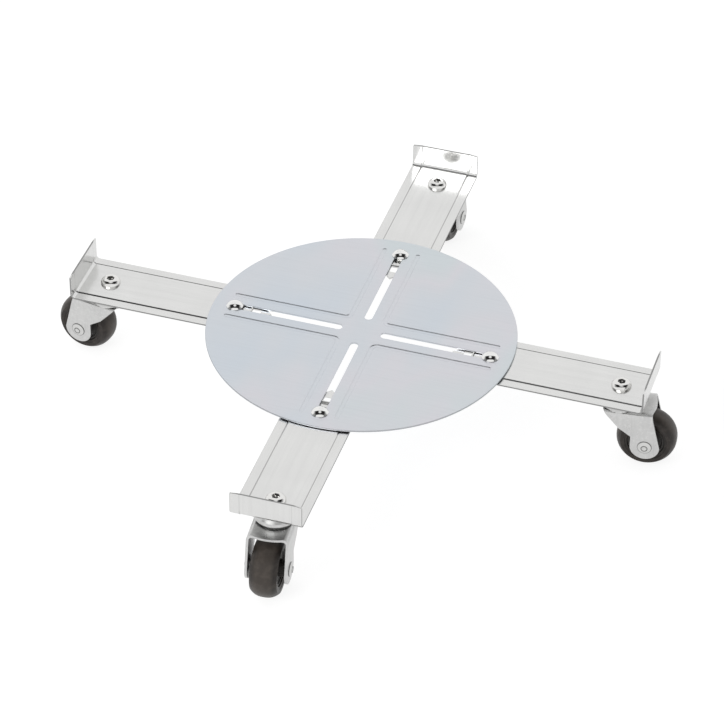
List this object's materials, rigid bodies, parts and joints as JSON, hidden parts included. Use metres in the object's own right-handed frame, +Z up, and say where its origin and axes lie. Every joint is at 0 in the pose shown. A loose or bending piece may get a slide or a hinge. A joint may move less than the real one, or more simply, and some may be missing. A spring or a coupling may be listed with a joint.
{
  "type": "round dolly",
  "caption": "Round slotted dolly plate on radially adjustable arms with upturned end lips and swivel castors, for rolling drums, bins and tubs.",
  "frame": {"origin": "on the floor under the middle of the round plate", "axes": "+Z up, +X out along the right arm, +Y out along the back arm"},
  "size_m": [0.5857, 0.5859, 0.101],
  "materials": {
    "plate_zinc": "blue zinc-plated sheet steel",
    "arm_zinc": "galvanised sheet steel",
    "bright_bolt": "bright nickel-plated steel",
    "bright_screw": "bright zinc-plated steel",
    "castor_zinc": "bright zinc-plated pressed steel",
    "ball_steel": "hardened steel balls",
    "axle_steel": "zinc-plated rivet",
    "hub_plastic": "black polypropylene",
    "tyre_rubber": "dark grey-brown solid rubber"
  },
  "bodies": {
    "plate": {"round_plate": "plate_zinc"},
    "right_arm_slide": {"right_arm": "arm_zinc", "right_carriage_bolt": "bright_bolt", "right_clamp_washer": "bright_bolt", "right_clamp_nut": "bright_bolt", "right_fixing_screw": "bright_screw", "right_fixing_nut": "bright_screw", "right_top_cup": "castor_zinc", "right_king_sleeve": "castor_zinc", "right_race_balls": "ball_steel"},
    "right_castor_fork": {"right_fork": "castor_zinc", "right_axle": "axle_steel"},
    "right_castor_wheel": {"right_wheel_hub": "hub_plastic", "right_tyre": "tyre_rubber"},
    "back_arm_slide": {"back_arm": "arm_zinc", "back_carriage_bolt": "bright_bolt", "back_clamp_washer": "bright_bolt", "back_clamp_nut": "bright_bolt", "back_fixing_screw": "bright_screw", "back_fixing_nut": "bright_screw", "back_top_cup": "castor_zinc", "back_king_sleeve": "castor_zinc", "back_race_balls": "ball_steel"},
    "back_castor_fork": {"back_fork": "castor_zinc", "back_axle": "axle_steel"},
    "back_castor_wheel": {"back_wheel_hub": "hub_plastic", "back_tyre": "tyre_rubber"},
    "left_arm_slide": {"left_arm": "arm_zinc", "left_carriage_bolt": "bright_bolt", "left_clamp_washer": "bright_bolt", "left_clamp_nut": "bright_bolt", "left_fixing_screw": "bright_screw", "left_fixing_nut": "bright_screw", "left_top_cup": "castor_zinc", "left_king_sleeve": "castor_zinc", "left_race_balls": "ball_steel"},
    "left_castor_fork": {"left_fork": "castor_zinc", "left_axle": "axle_steel"},
    "left_castor_wheel": {"left_wheel_hub": "hub_plastic", "left_tyre": "tyre_rubber"},
    "front_arm_slide": {"front_arm": "arm_zinc", "front_carriage_bolt": "bright_bolt", "front_clamp_washer": "bright_bolt", "front_clamp_nut": "bright_bolt", "front_fixing_screw": "bright_screw", "front_fixing_nut": "bright_screw", "front_top_cup": "castor_zinc", "front_king_sleeve": "castor_zinc", "front_race_balls": "ball_steel"},
    "front_castor_fork": {"front_fork": "castor_zinc", "front_axle": "axle_steel"},
    "front_castor_wheel": {"front_wheel_hub": "hub_plastic", "front_tyre": "tyre_rubber"}
  },
  "joints": [
    {"name": "right_arm_slides", "type": "slide", "parent": "plate", "child": "right_arm_slide", "axis": [1, 0, 0], "range_m": [-0.081, 0]},
    {"name": "right_castor_swivels", "type": "hinge", "parent": "right_arm_slide", "child": "right_castor_fork", "pos_m": [0.24, 0, 0.071], "axis": [0, 0, 1], "continuous": true},
    {"name": "right_wheel_spins", "type": "hinge", "parent": "right_castor_fork", "child": "right_castor_wheel", "pos_m": [0.26586, 0.00272, 0.027], "axis": [-0.1045, 0.9945, 0], "continuous": true},
    {"name": "back_arm_slides", "type": "slide", "parent": "plate", "child": "back_arm_slide", "axis": [0, 1, 0], "range_m": [-0.081, 0]},
    {"name": "back_castor_swivels", "type": "hinge", "parent": "back_arm_slide", "child": "back_castor_fork", "pos_m": [0, 0.24, 0.071], "axis": [0, 0, 1], "continuous": true},
    {"name": "back_wheel_spins", "type": "hinge", "parent": "back_castor_fork", "child": "back_castor_wheel", "pos_m": [0.00091, 0.26598, 0.027], "axis": [-0.9994, 0.0349, 0], "continuous": true},
    {"name": "left_arm_slides", "type": "slide", "parent": "plate", "child": "left_arm_slide", "axis": [-1, 0, 0], "range_m": [-0.081, 0]},
    {"name": "left_castor_swivels", "type": "hinge", "parent": "left_arm_slide", "child": "left_castor_fork", "pos_m": [-0.24, 0, 0.071], "axis": [0, 0, 1], "continuous": true},
    {"name": "left_wheel_spins", "type": "hinge", "parent": "left_castor_fork", "child": "left_castor_wheel", "pos_m": [-0.2656, 0.00451, 0.027], "axis": [-0.1736, -0.9848, 0], "continuous": true},
    {"name": "front_arm_slides", "type": "slide", "parent": "plate", "child": "front_arm_slide", "axis": [0, -1, 0], "range_m": [-0.081, 0]},
    {"name": "front_castor_swivels", "type": "hinge", "parent": "front_arm_slide", "child": "front_castor_fork", "pos_m": [0, -0.24, 0.071], "axis": [0, 0, 1], "continuous": true},
    {"name": "front_wheel_spins", "type": "hinge", "parent": "front_castor_fork", "child": "front_castor_wheel", "pos_m": [0.00227, -0.2659, 0.027], "axis": [0.9962, 0.0872, 0], "continuous": true}
  ]
}
